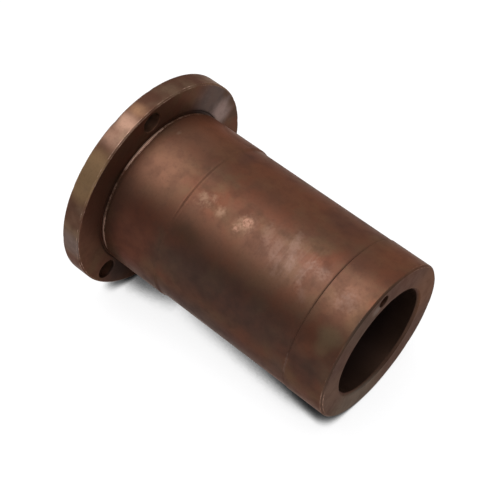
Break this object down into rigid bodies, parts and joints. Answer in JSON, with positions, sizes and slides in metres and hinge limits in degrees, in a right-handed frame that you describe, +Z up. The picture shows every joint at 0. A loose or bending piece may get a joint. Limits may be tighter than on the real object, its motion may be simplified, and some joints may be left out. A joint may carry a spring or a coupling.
{
  "type": "flanged sleeve bushing",
  "caption": "Flanged bronze sleeve bushing with a plain through bore, two outer lands either side of a relieved middle, and a drilled bolt flange at one end.",
  "frame": {"origin": "on the bore axis, halfway between the flange's back face and the nose face", "axes": "+X along the bore axis from the flange to the nose, +Z up as the part lies on its side, +Y away from a viewer who has the nose on the right"},
  "size_m": [0.1412, 0.11, 0.11],
  "materials": {
    "sleeve_bronze": "turned bronze, darkened and rubbed bright in places",
    "flange_bronze": "turned bronze, more olive than the sleeve"
  },
  "bodies": {
    "root": {"sleeve": "sleeve_bronze", "flange_ring": "flange_bronze"}
  },
  "joints": []
}
